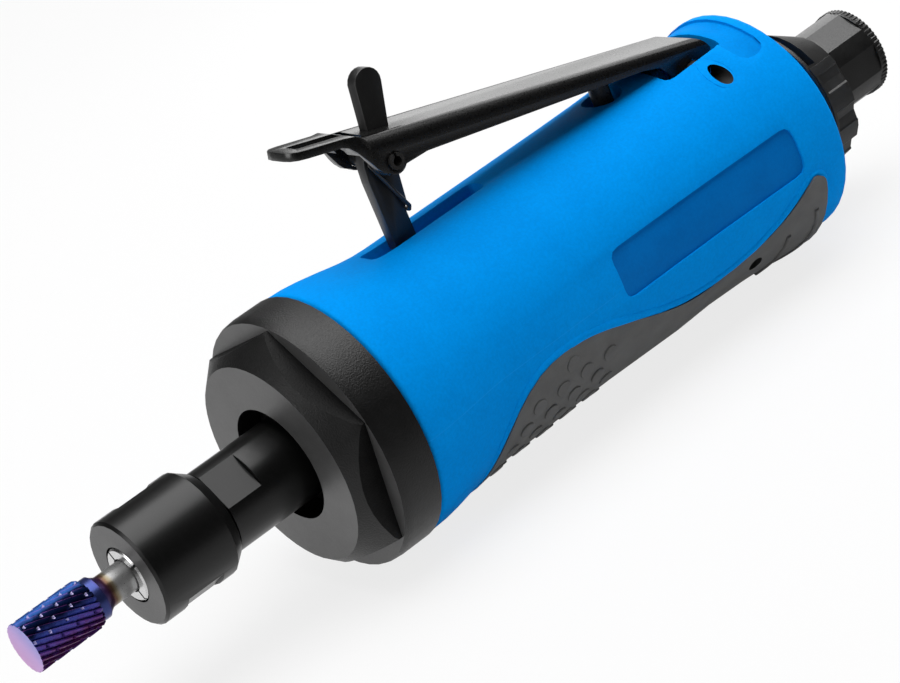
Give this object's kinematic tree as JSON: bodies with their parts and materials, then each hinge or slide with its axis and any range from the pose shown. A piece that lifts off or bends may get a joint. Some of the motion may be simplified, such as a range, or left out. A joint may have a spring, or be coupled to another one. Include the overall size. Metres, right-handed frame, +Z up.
{
  "type": "air die grinder",
  "caption": "Straight pneumatic die grinder: moulded grip with rubber sleeve, lever throttle with lock-off latch, collet holding a rotary burr, rear air inlet and turnable exhaust.",
  "frame": {"origin": "on the tool axis at the middle of the hand grip", "axes": "+X along the tool axis from the burr to the air inlet, +Z up towards the throttle lever, the near side of the picture at -Y"},
  "size_m": [0.2068, 0.05, 0.0778],
  "materials": {
    "blue_body": "satin moulded blue",
    "grip_rubber": "matte",
    "black_steel": "black oxide",
    "dark_steel": "darkened",
    "steel": "ground",
    "burr_steel": "heat tinted",
    "blade": "phenolic",
    "black_lever": "satin black",
    "black_latch": "black oxide",
    "brass": "turned",
    "seal_rubber": "matte",
    "deflector": "dark anodised",
    "felt": "felt"
  },
  "bodies": {
    "body": {"motor_housing": "blue_body", "grip_sleeve": "grip_rubber", "nose_cap": "black_steel", "front_seal": "felt", "front_end_plate": "steel", "front_bearing_outer": "steel", "wave_washer": "steel", "bearing_spacer": "steel", "rear_bearing_outer": "steel", "cylinder_liner": "steel", "cylinder_pin": "steel", "rear_end_plate": "steel", "lever_pivot_pin": "steel", "plunger_seal": "seal_rubber", "plunger_bushing": "brass", "valve_seat": "brass", "valve_spring": "steel", "inlet_bushing": "dark_steel", "inlet_seal": "seal_rubber", "inlet_screen": "brass"},
    "drive": {"spindle": "black_steel", "rotor": "steel", "rotor_blade_1": "blade", "rotor_blade_2": "blade", "rotor_blade_3": "blade", "rotor_blade_4": "blade", "rotor_blade_5": "blade", "front_bearing_inner": "steel", "rear_bearing_inner": "steel"},
    "chuck": {"collet": "dark_steel", "burr": "burr_steel"},
    "nut": {"collet_nut": "black_steel"},
    "lever": {"throttle_lever": "black_lever", "latch_pin": "dark_steel"},
    "latch": {"safety_latch": "black_latch", "latch_spring": "steel"},
    "plunger": {"throttle_plunger": "steel"},
    "valve": {"tip_valve": "steel"},
    "deflector": {"exhaust_deflector": "deflector", "exhaust_muffler": "felt"}
  },
  "joints": [
    {"name": "spindle_spin", "type": "hinge", "parent": "body", "child": "drive", "pos_m": [0, 0, 0], "axis": [1, 0, 0], "continuous": true},
    {"name": "collet_slide", "type": "slide", "parent": "drive", "child": "chuck", "axis": [-1, 0, 0], "range_m": [0, 0.00251]},
    {"name": "nut_turn", "type": "hinge", "parent": "chuck", "child": "nut", "pos_m": [-0.0965, 0, 0], "axis": [-1, 0, 0], "range_deg": [0, 720]},
    {"name": "lever_press", "type": "hinge", "parent": "body", "child": "lever", "pos_m": [0.0365, 0, 0.0187], "axis": [0, -1, 0], "range_deg": [0, 7], "stiffness_Nm_per_rad": 2, "springref_deg": -17.19},
    {"name": "latch_swing", "type": "hinge", "parent": "lever", "child": "latch", "pos_m": [-0.03003, 0, 0.03741], "axis": [0, -1, 0], "range_deg": [0, 70.1]},
    {"name": "plunger_slide", "type": "slide", "parent": "body", "child": "plunger", "axis": [0, 0, -1], "range_m": [0, 0.00228]},
    {"name": "valve_tilt", "type": "hinge", "parent": "body", "child": "valve", "pos_m": [0.0297, 0, 0.0042], "axis": [0, -1, 0], "range_deg": [0, 12.7], "deforming": ["valve_spring"]},
    {"name": "deflector_turn", "type": "hinge", "parent": "body", "child": "deflector", "pos_m": [0.062, 0, 0], "axis": [1, 0, 0], "continuous": true}
  ],
  "couplings": [
    {"joint": "collet_slide", "follows": "nut_turn", "m_per_rad": 0.00019894},
    {"joint": "latch_swing", "follows": "lever_press", "ratio": 10},
    {"joint": "plunger_slide", "follows": "lever_press", "m_per_rad": 0.0185},
    {"joint": "valve_tilt", "follows": "lever_press", "ratio": 1.8}
  ]
}
